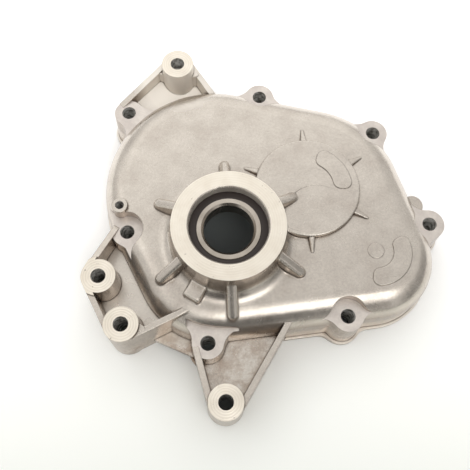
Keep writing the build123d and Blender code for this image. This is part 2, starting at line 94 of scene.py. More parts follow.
# Where the cast skin and the bored walls change, in metres: low pockets by height, coolant by depth,
# the painted light at the top boss by distance from it, and the hub's fins and seats by distance from its
# axis
LOW_POCKETS = (20 * MM, 10 * MM)
COOLANT = (-40 * MM, -65 * MM)
TOP_BOSS_PAINTED_LIGHT = (34 * MM, 24 * MM)
HUB_FINS_END = (52 * MM, 58 * MM)
HUB_SEATS_END = (30 * MM, 32 * MM)

RIVET_HEAD_RADIUS = 0.95 * MM
RIVET_HEAD_HEIGHT = 0.8 * MM
RIVET_HEAD_FLATNESS = 0.5
RIVET_SHANK_SHARE = 0.62
RIVET_SHANK_LENGTH = 1.8 * MM

# Where the photograph was taken from, in metres in the frame, and the way its top points
CAMERA_PLACE = Vector((-0.004049, -0.125585, 0.394995))
CAMERA_LOOKS = Vector((0.02151113, 0.33711908, -0.94121623))
CAMERA_UP = Vector((-0.00194188, 0.94144639, 0.33715713))
CAMERA_SENSOR = 36.0
CAMERA_LENS = 47.152

# The studio's tent, as it is seen from the part: what each patch is, the direction of its middle,
# the angles from there at which it ends and is full, in degrees, and how much light it adds
TENT_LEVEL = 0.72
TENT_PATCHES = (
    ("wall behind", (0.0, 0.8, 0.6), 38, 15, 0.5),
    ("roof behind", (0.0, 0.42, 0.91), 30, 5, 0.1),
    ("roof left", (-0.5, 0.3, 0.8), 30, 10, 0.3),
    ("roof middle", (0.0, -0.05, 1.0), 16, 6, -0.14),
    ("roof front", (0.05, -0.4, 0.91), 28, 8, 0.7),
    ("roof window", (0.3, -0.48, 0.82), 21, 11, 1.8),
    ("left wall", (-0.85, 0.0, 0.53), 40, 15, 0.45),
    ("right wall", (0.85, 0.0, 0.53), 40, 15, 0.12),
    ("grey skirt, left", (-0.97, -0.15, 0.1), 42, 22, -0.35),
    ("grey skirt, right", (0.97, -0.15, 0.1), 42, 22, -0.5),
)
# The dark opening that the photograph is taken through, given in the same way, and the light left in it
OPENING = ((-0.06, -0.92, 0.39), 32, 21)
OPENING_LEVEL = 0.06

# The paper, in metres: the depths between which it turns from grey to white, those between which its
# glow grows and the glow there, those between which it is painted dark before the camera, how far the
# part shades it, and the radii between which the dark under the hub ends
PAPER_FADE = (-0.2, 0.02)
PAPER_GLOW_DEPTHS = (-0.2, 0.15)
PAPER_GLOW = (0.08, 0.5)
PAPER_DARK_DEPTHS = (-0.30, -0.42)
PAPER_SHADE_REACH = 0.045
UNDER_HUB = (0.045, 0.06)

# Kinds of shader node that are used most, and the settings of a plain and of a multiplying colour mix
NOISE = "ShaderNodeTexNoise"
RAMP = "ShaderNodeValToRGB"
RANGE = "ShaderNodeMapRange"
MATHS = "ShaderNodeMath"
VECTORS = "ShaderNodeVectorMath"
SPLIT = "ShaderNodeSeparateXYZ"
MIX = "ShaderNodeMix"
BUMP = "ShaderNodeBump"
PRINCIPLED = "ShaderNodeBsdfPrincipled"
BLENDED = {"data_type": "RGBA"}
MULTIPLIED = {"data_type": "RGBA", "blend_type": "MULTIPLY"}


def linear(hex_text):
    """A colour written as sRGB hex, as the linear values that shaders take."""
    values = [int(hex_text[i:i + 2], 16) / 255 for i in (1, 3, 5)]
    return (*[v / 12.92 if v <= 0.04045 else ((v + 0.055) / 1.055) ** 2.4 for v in values], 1.0)


def add(tree, kind, links=(), stops=(), **settings):
    """One node with its settings. links gives its inputs, in order or by index or name, each as a plain
    value, a colour's hex text, a socket, or a node, whose first output in use is then meant. stops gives
    a ramp's places and colours."""
    made = tree.nodes.new(kind)
    for name, value in settings.items():
        setattr(made, name, value)
    for key, value in links.items() if isinstance(links, dict) else enumerate(links):
        if isinstance(value, bpy.types.Node):
            value = next(output for output in value.outputs if output.enabled)
        if isinstance(value, bpy.types.NodeSocket):
            tree.links.new(value, made.inputs[key])
        else:
            made.inputs[key].default_value = linear(value) if isinstance(value, str) else value
    if stops:
        elements = made.color_ramp.elements
        while len(elements) < len(stops):
            elements.new(0.5)
        for element, (position, colour) in zip(elements, stops):
            element.position = position
            element.color = linear(colour)
    return made


def new_material(name):
    """An empty material, with the place of the surface as its one ready value."""
    material = bpy.data.materials.new(name)
    material.use_nodes = True
    tree = material.node_tree
    tree.nodes.clear()
    return material, tree, add(tree, "ShaderNodeTexCoord").outputs["Object"]


def painted_corner_shade(tree, reach, dark, stops):
    """Painted shade: white in the open and darker within reach of a corner."""
    openness = add(tree, "ShaderNodeAmbientOcclusion", {"Distance": reach}, samples=8).outputs["AO"]
    return add(tree, RAMP, [openness], stops=[(stops[0], dark), (stops[1], "#FFFFFF")])


def speckled(tree, place, colour, size, amount):
    """A colour with a fine speckle that makes it lighter and darker by this share."""
    specks = add(tree, NOISE, {"Vector": place, "Scale": 1 / size, "Detail": 2.0})
    shade = add(tree, RANGE, [specks, 0.0, 1.0, 1 - 2 * amount, 1 + 2 * amount])
    return add(tree, MIX, {0: 1.0, 6: colour, 7: shade}, **MULTIPLIED)


def off_axis(tree, place, axis=(0.0, 0.0, 0.0)):
    """How far a spot lies from an upright axis, the hub's where none is given."""
    flat = add(tree, VECTORS, [place, (1.0, 1.0, 0.0)], operation="MULTIPLY")
    return add(tree, VECTORS, [flat, axis], operation="DISTANCE")


def streaked_wall_shade(tree, place, colour):
    """A colour made darker on the drafted walls in upright streaks: streaks where the die rubbed when it
    opened, and painted shade on the walls.
    """
    upward = add(tree, SPLIT, [add(tree, "ShaderNodeNewGeometry").outputs["Normal"]]).outputs["Z"]
    wall = add(tree, RANGE, [upward, 0.45, 0.15, 0.0, 1.0])
    drawn_out = add(tree, VECTORS, [place, (1.0, 1.0, 0.12)], operation="MULTIPLY")
    streaks = add(tree, NOISE, {"Vector": drawn_out, "Scale": 1 / (1.1 * MM), "Detail": 2.0})
    wall_shade_streaks = add(tree, RAMP, [streaks], stops=[(0.3, "#CBC4BF"), (0.7, "#DFD9D4")])
    shaded_walls = add(tree, MIX, {0: 1.0, 6: colour, 7: wall_shade_streaks}, **MULTIPLIED)
    return add(tree, MIX, {0: wall, 6: colour, 7: shaded_walls}, **BLENDED)


def scuffed(tree, place, colour):
    """A colour with the short grey scuffs that handling leaves."""
    drawn_out = add(tree, VECTORS, [place, (0.35, 1.0, 1.0)], operation="MULTIPLY")
    marks = add(tree, NOISE, {
        "Vector": drawn_out, "Scale": 1 / (1.4 * MM), "Detail": 4.0, "Roughness": 0.6,
    })
    share = add(tree, RANGE, [marks, 0.66, 0.74, 0.0, 0.35])
    return add(tree, MIX, {0: share, 6: colour, 7: "#8C837B"}, **BLENDED)


def painted_light_share(tree, place, low, oily):
    """How much painted light makes a spot white and dull: most at the top boss and in its pocket, and half as
    much on the floors of the low pockets that no coolant has stained."""
    x, y, _ = BOSSES["top"]
    near = add(tree, RANGE, [off_axis(tree, place, (x * MM, y * MM, 0.0)), *TOP_BOSS_PAINTED_LIGHT, 0.0, 1.0])
    # Walls that face backwards get none of the painted light and keep the skin's own colour
    backward = add(tree, SPLIT, [add(tree, "ShaderNodeNewGeometry").outputs["Normal"]]).outputs["Y"]
    facing = add(tree, RANGE, [backward, 0.5, 0.1, 0.0, 1.0])
    at_boss = add(tree, MATHS, [near, facing], operation="MULTIPLY")
    clean = add(tree, MATHS, [low, add(tree, RANGE, [oily, 0.0, 1.0, 0.5, 0.0])], operation="MULTIPLY")
    return add(tree, MATHS, [at_boss, clean], operation="MAXIMUM")


def cast_colour(tree, place, low, oily, painted_light):
    """The cast skin's clouds, pocket floors painted paler as painted light, brown coolant stains, streaks
    with painted shade on the walls, scuffs, painted light at the top boss, and painted shade in the corners.
    """
    paint = bpy.context.scene.case_paint
    clouds = add(tree, NOISE, {"Vector": place, "Scale": 1 / (16 * MM), "Detail": 4.0, "Roughness": 0.6})
    skin = add(tree, RAMP, [clouds], stops=[
        (0.3, paint.cast_dark), (0.5, paint.cast_middle), (0.7, paint.cast_light),
    ])
    # The low pockets' floors are painted paler: painted light where little light reaches them
    pale = add(tree, MATHS, [low, 0.8], operation="MULTIPLY")
    colour = add(tree, MIX, {0: pale, 6: skin, 7: paint.cast_painted_light}, **BLENDED)
    patches = add(tree, NOISE, {"Vector": place, "Scale": 1 / (11 * MM), "Detail": 5.0, "Roughness": 0.7})
    wet = add(tree, MATHS, [low, oily], operation="MULTIPLY")
    stains = add(tree, MATHS, [wet, add(tree, RANGE, [patches, 0.4, 0.6, 0.0, 0.9])], operation="MULTIPLY")
    colour = add(tree, MIX, {0: stains, 6: colour, 7: paint.cast_stain}, **BLENDED)
    colour = speckled(tree, place, colour, 1.3 * MM, 0.06)
    # Painted shade on the upright walls, in streaks, and then the scuffs
    colour = scuffed(tree, place, streaked_wall_shade(tree, place, colour))
    # Painted light at the top boss and on the low pockets' floors
    colour = add(tree, MIX, {0: painted_light, 6: colour, 7: paint.cast_painted_light}, **BLENDED)
    # Painted shade in the corners: soft over a few millimetres, and darker right at them
    wide = painted_corner_shade(tree, 2.5 * MM, "#ADA39C", (0.35, 0.8))
    narrow = painted_corner_shade(tree, 0.9 * MM, "#8A8078", (0.5, 0.9))
    colour = add(tree, MIX, {0: 1.0, 6: colour, 7: wide}, **MULTIPLIED)
    return add(tree, MIX, {0: 1.0, 6: colour, 7: narrow}, **MULTIPLIED)


def cast_relief(tree, place):
    """The cast skin's rounded edges, grain and waves. The fins and the lug round the hub are softer than
    the other edges. Shot marks are 0.2 mm across, too fine for the render, so they are drawn at 0.9 mm."""
    sizes = bpy.context.scene.case_sizes
    reach = off_axis(tree, place)
    radius = add(tree, RANGE, [reach, *HUB_FINS_END, sizes.fin_edge, sizes.cast_edge])
    edges = add(tree, "ShaderNodeBevel", {"Radius": radius}, samples=6)
    shot_marks = add(tree, NOISE, {"Vector": place, "Scale": 1 / (0.9 * MM), "Detail": 2.0})
    grain = add(tree, BUMP, {"Height": shot_marks, "Distance": 0.03 * MM, "Strength": 1.0, "Normal": edges})
    swells = add(tree, NOISE, {"Vector": place, "Scale": 1 / (11 * MM), "Detail": 2.0})
    return add(tree, BUMP, {"Height": swells, "Distance": 0.2 * MM, "Strength": 1.0, "Normal": grain})


def cast_aluminium():
    """Die-cast aluminium with a shot-blast finish: satin warm grey, clouded, with a fine grain and soft
    waves, and painted light at the top boss and on the low pockets' floors.
    """
    material, tree, place = new_material("aluminium_die_cast_shot_blasted")
    parts = add(tree, SPLIT, [place]).outputs
    low = add(tree, RANGE, [parts["Z"], *LOW_POCKETS, 0.0, 1.0])
    oily = add(tree, RANGE, [parts["Y"], *COOLANT, 0.0, 1.0])
    # Painted light: whiter, less metallic and rougher at the top boss and on the low pockets' floors
    painted_light = painted_light_share(tree, place, low, oily)
    sheen = add(tree, NOISE, {"Vector": place, "Scale": 1 / (7 * MM), "Detail": 3.0})
    satin = add(tree, RANGE, [sheen, 0.0, 1.0, 0.2, 0.31])
    shader = add(tree, PRINCIPLED, {
        "Base Color": cast_colour(tree, place, low, oily, painted_light),
        "Metallic": add(tree, RANGE, [painted_light, 0.0, 1.0, 0.82, 0.42]),
        "Roughness": add(tree, MATHS, [painted_light, 0.2, satin], operation="MULTIPLY_ADD"),
        "Normal": cast_relief(tree, place),
    })
    add(tree, "ShaderNodeOutputMaterial", [shader])
    return material


def pad_aluminium():
    """The ears' bearing faces, as the die left them: flatter and a little paler than the rest."""
    material, tree, place = new_material("aluminium_die_cast_pad")
    paint = bpy.context.scene.case_paint
    patches = add(tree, NOISE, {"Vector": place, "Scale": 1 / (7 * MM), "Detail": 3.0})
    clouds = add(tree, RAMP, [patches], stops=[(0.35, paint.pad_dark), (0.65, paint.pad_light)])
    edges = add(tree, "ShaderNodeBevel", {"Radius": bpy.context.scene.case_sizes.faced_edge}, samples=6)
    dimples = add(tree, NOISE, {"Vector": place, "Scale": 1 / (1 * MM), "Detail": 3.0})
    sheen = add(tree, NOISE, {"Vector": place, "Scale": 1 / (4 * MM), "Detail": 3.0})
    shader = add(tree, PRINCIPLED, {
        "Base Color": speckled(tree, place, clouds, 1.1 * MM, 0.05),
        "Metallic": 0.78,
        "Roughness": add(tree, RANGE, [sheen, 0.0, 1.0, 0.32, 0.44]),
        "Normal": add(tree, BUMP, {
            "Height": dimples, "Distance": 0.02 * MM, "Strength": 1.0, "Normal": edges,
        }),
    })
    add(tree, "ShaderNodeOutputMaterial", [shader])
    return material


def machined_aluminium():
    """The casting's faces after facing: paler and brighter, with rings left by the cutter and a few pores."""
    material, tree, place = new_material("aluminium_faced")
    paint = bpy.context.scene.case_paint
    centre = add(tree, "ShaderNodeAttribute", attribute_name="cutter_centre").outputs["Vector"]
    patches = add(tree, NOISE, {"Vector": place, "Scale": 1 / (9 * MM), "Detail": 3.0})
    # The cutter's rings are 0.15 mm apart, drawn at 1.5 mm so that they show
    turns = add(tree, MATHS, [off_axis(tree, place, centre), math.tau / (1.5 * MM)], operation="MULTIPLY")
    wobble = add(tree, MATHS, [turns, add(tree, RANGE, [patches, 0.0, 1.0, 0.0, 4.0])], operation="ADD")
    rings = add(tree, MATHS, [wobble], operation="SINE")
    # The hub was turned in a finer feed than the bosses
    height = add(tree, SPLIT, [place]).outputs["Z"]
    feed = add(tree, RANGE, [height, HUB_ABOVE, HUB_ABOVE + MM, 1.0, 0.3])
    shade = add(tree, MATHS, [add(tree, RANGE, [rings, -1.0, 1.0, 0.0, 1.0]), feed], operation="MULTIPLY")
    ridges = add(tree, MATHS, [rings, feed], operation="MULTIPLY")
    clouds = add(tree, RAMP, [patches], stops=[(0.35, paint.faced_dark), (0.65, paint.faced_light)])
    ringed = add(tree, MIX, {
        0: add(tree, RANGE, [shade, 0.0, 1.0, 0.0, 0.22]), 6: clouds, 7: paint.faced_ring,
    }, **BLENDED)
    pits = add(tree, NOISE, {"Vector": place, "Scale": 1 / (1.9 * MM), "Detail": 1.0})
    pores = add(tree, RANGE, [pits, 0.76, 0.8, 0.0, 0.7])
    edges = add(tree, "ShaderNodeBevel", {"Radius": bpy.context.scene.case_sizes.faced_edge}, samples=6)
    sheen = add(tree, NOISE, {"Vector": place, "Scale": 1 / (4 * MM), "Detail": 3.0})
    shader = add(tree, PRINCIPLED, {
        "Base Color": add(tree, MIX, {0: pores, 6: ringed, 7: "#6E6258"}, **BLENDED),
        "Metallic": 0.75,
        "Roughness": add(tree, RANGE, [sheen, 0.0, 1.0, 0.24, 0.36]),
        "Normal": add(tree, BUMP, {
            "Height": ridges, "Distance": 0.035 * MM, "Strength": 1.0, "Normal": edges,
        }),
    })
    add(tree, "ShaderNodeOutputMaterial", [shader])
    return material


def bored_aluminium():
    """Drilled and bored walls: bright but in shade, with turning marks all along the depth."""
    material, tree, place = new_material("aluminium_bored")
    depth = add(tree, SPLIT, [place]).outputs["Z"]
    # The drill's marks are 0.1 mm apart, drawn at 1.25 mm so that they show
    turns = add(tree, MATHS, [depth, math.tau / (1.25 * MM)], operation="MULTIPLY")
    rings = add(tree, MATHS, [turns], operation="SINE")
    chatter = add(tree, NOISE, {"Vector": place, "Scale": 1 / (1.2 * MM), "Detail": 3.0, "Roughness": 0.7})
    scratches = add(tree, BUMP, {"Height": chatter, "Distance": 0.3 * MM, "Strength": 1.0})
    patches = add(tree, NOISE, {"Vector": place, "Scale": 1 / (3 * MM), "Detail": 3.0})
    mottled = add(tree, RAMP, [patches], stops=[(0.38, "#8C8882"), (0.62, "#FFFDF9")])
    # The seats of the output bearing and of the oil seal were bored finer, so they are even
    rough = add(tree, RANGE, [off_axis(tree, place), *HUB_SEATS_END, 0.0, 1.0])
    shader = add(tree, PRINCIPLED, {
        "Base Color": add(tree, MIX, {0: rough, 6: "#CFC8BF", 7: mottled}, **BLENDED),
        "Metallic": 0.6,
        "Roughness": 0.36,
        "Normal": add(tree, BUMP, {
            "Height": rings, "Distance": 0.16 * MM, "Strength": 1.0, "Normal": scratches,
        }),
    })
    add(tree, "ShaderNodeOutputMaterial", [shader])
    return material


def ground_steel():
    """Bearing steel, hardened and ground: bright, with hair-fine turning lines and a thin oil film."""
    material, tree, place = new_material("bearing_steel_ground")
    film = add(tree, NOISE, {"Vector": place, "Scale": 1 / (12 * MM), "Detail": 2.0})
    lines = add(tree, NOISE, {"Vector": place, "Scale": 1 / (0.6 * MM), "Detail": 3.0})
    shader = add(tree, PRINCIPLED, {
        "Base Color": add(tree, RAMP, [film], stops=[(0.3, "#A89F94"), (0.7, "#C9C0B5")]),
        "Metallic": 1.0,
        "Roughness": add(tree, RANGE, [film, 0.0, 1.0, 0.2, 0.32]),
        "Normal": add(tree, BUMP, {"Height": lines, "Distance": 0.004 * MM, "Strength": 1.0}),
    })
    add(tree, "ShaderNodeOutputMaterial", [shader])
    return material


def polished_steel():
    """Bearing balls, lapped: a mirror under a trace of oil."""
    material, tree, place = new_material("bearing_steel_lapped")
    film = add(tree, NOISE, {"Vector": place, "Scale": 1 / (2.5 * MM), "Detail": 2.0})
    shader = add(tree, PRINCIPLED, {
        "Base Color": add(tree, RAMP, [film], stops=[(0.3, "#B5B5B4"), (0.7, "#D4D3D0")]),
        "Metallic": 1.0,
        "Roughness": add(tree, RANGE, [film, 0.0, 1.0, 0.06, 0.16]),
    })
    add(tree, "ShaderNodeOutputMaterial", [shader])
    return material


def pressed_steel():
    """Cage strip, cold rolled and pressed: duller and greyer than the rings, with rubbed spots."""
    material, tree, place = new_material("steel_strip_pressed")
    rubbed = add(tree, NOISE, {"Vector": place, "Scale": 1 / (1.8 * MM), "Detail": 3.0})
    grain = add(tree, NOISE, {"Vector": place, "Scale": 1 / (0.5 * MM), "Detail": 3.0})
    shader = add(tree, PRINCIPLED, {
        "Base Color": add(tree, RAMP, [rubbed], stops=[(0.35, "#86807A"), (0.7, "#B4AEA6")]),
        "Metallic": 1.0,
        "Roughness": add(tree, RANGE, [rubbed, 0.0, 1.0, 0.32, 0.48]),
        "Normal": add(tree, BUMP, {"Height": grain, "Distance": 0.006 * MM, "Strength": 1.0}),
    })
    add(tree, "ShaderNodeOutputMaterial", [shader])
    return material


def seal_rubber():
    """Nitrile rubber moulded on a steel washer: brown-black, satin, with a dusty bloom."""
    material, tree, place = new_material("nitrile_rubber_moulded")
    paint = bpy.context.scene.case_paint
    bloom = add(tree, NOISE, {"Vector": place, "Scale": 1 / (5 * MM), "Detail": 4.0, "Roughness": 0.6})
    dust = add(tree, RANGE, [bloom, 0.0, 1.0, 0.0, 0.25])
    grain = add(tree, NOISE, {"Vector": place, "Scale": 1 / (0.7 * MM), "Detail": 3.0})
    shader = add(tree, PRINCIPLED, {
        "Base Color": add(tree, MIX, {0: dust, 6: paint.seal, 7: "#4A3B34"}, **BLENDED),
        "Roughness": add(tree, RANGE, [bloom, 0.0, 1.0, 0.42, 0.6]),
        "IOR": 1.52,
        "Normal": add(tree, BUMP, {"Height": grain, "Distance": 0.02 * MM, "Strength": 1.0}),
    })
    add(tree, "ShaderNodeOutputMaterial", [shader])
    return material


def phosphated_steel():
    """Spring steel, phosphated and oiled: nearly black with a soft metallic edge."""
    material, tree, place = new_material("spring_steel_phosphated")
    wear = add(tree, NOISE, {"Vector": place, "Scale": 1 / (2 * MM), "Detail": 4.0})
    crystals = add(tree, NOISE, {"Vector": place, "Scale": 1 / (0.4 * MM), "Detail": 3.0})
    shader = add(tree, PRINCIPLED, {
        "Base Color": add(tree, RAMP, [wear], stops=[(0.4, "#2A2826"), (0.75, "#55504B")]),
        "Metallic": 0.7,
        "Roughness": add(tree, RANGE, [wear, 0.0, 1.0, 0.38, 0.55]),
        "Normal": add(tree, BUMP, {"Height": crystals, "Distance": 0.008 * MM, "Strength": 1.0}),
    })
    add(tree, "ShaderNodeOutputMaterial", [shader])
    return material


def paper_sweep():
    """Matt white paper, greyer towards the camera, with the part's soft shade on it."""
    material, tree, place = new_material("paper_sweep_matt")
    path = add(tree, "ShaderNodeLightPath").outputs
    depth = add(tree, SPLIT, [place]).outputs["Y"]
    fade = add(tree, RANGE, [depth, *PAPER_FADE, 0.0, 1.0])
    tint = add(tree, RAMP, [fade], stops=[(0.0, "#E2E5E0"), (0.5, "#F1F2EE"), (1.0, "#FEFEFE")])
    # Before the camera the paper is painted dark for all but camera rays, a painted stand-in for the dark
    # room there; the metal mirrors that
    painted_dark_share = add(tree, RANGE, [depth, *PAPER_DARK_DEPTHS, 0.0, 1.0])
    unseen = add(tree, RANGE, [path["Is Camera Ray"], 0.0, 1.0, 1.0, 0.0])
    room = add(tree, MATHS, [painted_dark_share, unseen], operation="MULTIPLY")
    paper = add(tree, MIX, {0: room, 6: tint, 7: "#3C3A38"}, **BLENDED)
    # Near the part the paper lies in its shade, and under the hub in the dark of the case
    near = add(tree, "ShaderNodeAmbientOcclusion", {"Distance": PAPER_SHADE_REACH}, samples=8).outputs["AO"]
    reach = add(tree, VECTORS, [place], operation="LENGTH")
    outside = add(tree, RANGE, [reach, *UNDER_HUB, 0.0, 1.0])
    openness = add(tree, MATHS, [near, outside], operation="MULTIPLY")
    dark = add(tree, RANGE, [openness, 0.02, 0.25, 1.0, 0.0])
    paper = add(tree, MIX, {0: dark, 6: paper, 7: "#989E9E"}, **BLENDED)
    matt = add(tree, "ShaderNodeBsdfDiffuse", {"Color": paper})
    # The paper is whiter where it is seen or mirrored, and casts no more light on the part for it
    shade = add(tree, MATHS, [openness, 2.0], operation="POWER")
    whiter = add(tree, RANGE, [depth, *PAPER_GLOW_DEPTHS, *PAPER_GLOW])
    strength = add(tree, MATHS, [shade, whiter], operation="MULTIPLY")
    glow = add(tree, "ShaderNodeEmission", {"Color": paper, "Strength": strength})
    lit = add(tree, "ShaderNodeAddShader", [matt, glow])
    seen = add(tree, MATHS, [path["Is Camera Ray"], path["Is Glossy Ray"]], operation="MAXIMUM")
    seen = add(tree, MATHS, [seen, path["Is Transmission Ray"]], operation="MAXIMUM")
    sheet = add(tree, "ShaderNodeMixShader", [seen, matt, lit])
    # From underneath the paper is clear, so that the inside of the case can be looked at
    below = add(tree, "ShaderNodeNewGeometry").outputs["Backfacing"]
    surface = add(tree, "ShaderNodeMixShader", [below, sheet, add(tree, "ShaderNodeBsdfTransparent")])
    add(tree, "ShaderNodeOutputMaterial", [surface])
    return material


class CasePaint(bpy.types.PropertyGroup):
    """Colours of the metals and the rubber"""
    cast_dark: bpy.props.StringProperty(
        name="Cast, dark", description="Darkest cloud of the cast skin, sRGB hex", default="#C3BAB0",
    )
    cast_middle: bpy.props.StringProperty(
        name="Cast, middle", description="Most of the cast skin, sRGB hex", default="#CCC4BA",
    )
    cast_light: bpy.props.StringProperty(
        name="Cast, light", description="Lightest cloud of the cast skin, sRGB hex", default="#D3CBC1",
    )
    # Also the colour of the painted light at the top boss and on the low pockets' floors
    cast_painted_light: bpy.props.StringProperty(
        name="Cast, pale", description="Pocket floors and the top boss, sRGB hex", default="#F4EDE3",
    )
    cast_stain: bpy.props.StringProperty(
        name="Cast, stain", description="Brownish stain on the cast skin, sRGB hex", default="#A8927E",
    )
    pad_dark: bpy.props.StringProperty(
        name="Pad, dark", description="Darker patches of the ears' faces, sRGB hex", default="#CFC6BF",
    )
    pad_light: bpy.props.StringProperty(
        name="Pad, light", description="Lighter patches of the ears' faces, sRGB hex", default="#DED6CE",
    )
    faced_dark: bpy.props.StringProperty(
        name="Faced, dark", description="Darker patches of the faced metal, sRGB hex", default="#EDE4D5",
    )
    faced_light: bpy.props.StringProperty(
        name="Faced, light", description="Lighter patches of the faced metal, sRGB hex", default="#F6EEE0",
    )
    faced_ring: bpy.props.StringProperty(
        name="Faced, ring", description="Shade in the cutter's rings, sRGB hex", default="#B7AB9C",
    )
    seal: bpy.props.StringProperty(
        name="Seal", description="Rubber of the bearing's seals, sRGB hex", default="#261C18",
    )


class CaseSizes(bpy.types.PropertyGroup):
    """Sizes that the shading and the stage use"""
    cast_edge: bpy.props.FloatProperty(
        name="Cast edge", description="Rounding of the cast edges",
        default=0.8 * MM, unit="LENGTH", precision=5,
    )
    fin_edge: bpy.props.FloatProperty(
        name="Fin edge", description="Rounding of the fins and the lug",
        default=2.4 * MM, unit="LENGTH", precision=5,
    )
    faced_edge: bpy.props.FloatProperty(
        name="Faced edge", description="Rounding where a faced surface ends",
        default=0.35 * MM, unit="LENGTH", precision=5,
    )
    sharp_angle: bpy.props.FloatProperty(
        name="Sharp angle", description="Edges that bend more than this are shaded as edges",
        default=math.radians(28), subtype="ANGLE",
    )
    floor: bpy.props.FloatProperty(
        name="Floor", description="Half the floor's width",
        default=3.0, unit="LENGTH",
    )


def bored_axes():
    """Each bored wall's axis and radius: bolt holes, dowel holes, the seal's seat and the bearings' seats."""
    walls = [(x, y, radius) for x, y in HOLES for radius in (BOLT_HOLE_RADIUS, DOWEL_HOLE_RADIUS)]
    for mount in frame["record"]["mounts"]:
        if mount["name"] in ("seal_seat", "breather_hole"):
            x, y, _ = mount["pos_m"]
            walls.append((x, y, mount["dims"]["r_mm"] * MM))
    for name in BEARINGS:
        low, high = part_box(f"{name}_bearing_outer_ring")
        walls.append(((low.x + high.x) / 2, (low.y + high.y) / 2, (high.x - low.x) / 2))
    return walls


def nearest_hole(place):
    """The bolt hole next to a place."""
    return min(HOLES, key=lambda hole: math.hypot(hole[0] - place.x, hole[1] - place.y))


def surface_kind(face, walls):
    """0 for the cast skin, 1 for a faced surface, 2 for a bored one, 3 for an ear's pad."""
    normal, centre = face.normal, face.calc_center_median()
    if abs(normal.z) > LEVEL_NORMAL:
        level = any(abs(centre.z - height) < LEVEL_SLACK for height in FACED_LEVELS)
        if not level or (normal.z > 0) != (centre.z > MATING_FACE_BELOW):
            return 0
        on_ear = MATING_FACE_BELOW < centre.z < HUB_ABOVE and nearest_hole(centre) in EAR_HOLES
        return 3 if on_ear else 1
    if abs(normal.z) < UPRIGHT_NORMAL:
        for x, y, radius in walls:
            spoke = Vector((x - centre.x, y - centre.y, 0))
            turned = spoke.normalized().dot(normal)
            if abs(spoke.length - radius) < RADIUS_SLACK and turned > SPOKE_MATCH:
                return 2
    return 0


def mark_cutter_centres(mesh):
    """Stores on each face the axis that its cutter turned about: the nearest hole's, or the hub's,
    which is the frame's own axis and so the value that a face starts with."""
    centres = mesh.attributes.new("cutter_centre", "FLOAT_VECTOR", "FACE")
    for face in mesh.polygons:
        if MATING_FACE_BELOW < face.center.z < HUB_ABOVE:
            centres.data[face.index].vector = (*nearest_hole(face.center), 0.0)


class CASE_OT_casting(bpy.types.Operator):
    """The casting: the CAD's shape, with its faced and bored surfaces told from its skin"""
    bl_idname = "case.casting"
    bl_label = "Casting"

    def execute(self, context):
        mesh = frame["nodes"][CASE].data.copy()
        mesh.name = "case_body"
        mesh.materials.clear()
        for material in (cast_aluminium(), machined_aluminium(), bored_aluminium(), pad_aluminium()):
            mesh.materials.append(material)
        self.sort_faces(mesh, context.scene.case_sizes.sharp_angle)
        body = bpy.data.objects.new("case_body", mesh)
        context.scene.collection.objects.link(body)
        # The large flat faces set the shading, and the narrow strips of the fillets blend into them
        evening = body.modifiers.new("even shading", "WEIGHTED_NORMAL")
        evening.mode = "FACE_AREA"
        evening.weight = 80
        evening.keep_sharp = True
        evaluated = body.evaluated_get(context.evaluated_depsgraph_get())
        body.data = bpy.data.meshes.new_from_object(evaluated)
        body.modifiers.clear()
        mark_cutter_centres(body.data)
        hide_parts(CASE)
        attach(body, "case")
        return {"FINISHED"}

    def sort_faces(self, mesh, sharp_angle):
        """Merges the CAD's loose triangles, and gives each face its material and each edge its shading."""
        work = bmesh.new()
        work.from_mesh(mesh)
        bmesh.ops.remove_doubles(work, verts=work.verts, dist=MERGE_DISTANCE)
        bmesh.ops.dissolve_limit(
            work, angle_limit=FLAT_ANGLE, verts=work.verts, edges=work.edges,
        )
        walls = bored_axes()
        for face in work.faces:
            face.smooth = True
            face.material_index = surface_kind(face, walls)
        for edge in work.edges:
            edge.smooth = edge.calc_face_angle(0) < sharp_angle
        work.to_mesh(mesh)
        work.free()


def paint_node(name, material):
    """Gives a CAD node its material and keeps its shape."""
    piece = frame["nodes"][name]
    piece.data.materials.clear()
    piece.data.materials.append(material)


class CASE_OT_bearings(bpy.types.Operator):
    """Materials for the bearings' rings, cages, seals and the circlip, which keep their CAD shape"""
    bl_idname = "case.bearings"
    bl_label = "Bearings"

    def execute(self, context):
        rings, strip, rubber = ground_steel(), pressed_steel(), seal_rubber()
        for name in BEARINGS:
            for part in ("outer_ring", "inner_ring"):
                paint_node(f"{name}_bearing_{part}", rings)
            for part in ("cage_front", "cage_rear"):
                paint_node(f"{name}_bearing_{part}", strip)
        paint_node("output_bearing_front_seal", rubber)
        paint_node("output_bearing_rear_seal", rubber)
        paint_node("output_bearing_circlip", phosphated_steel())
        return {"FINISHED"}


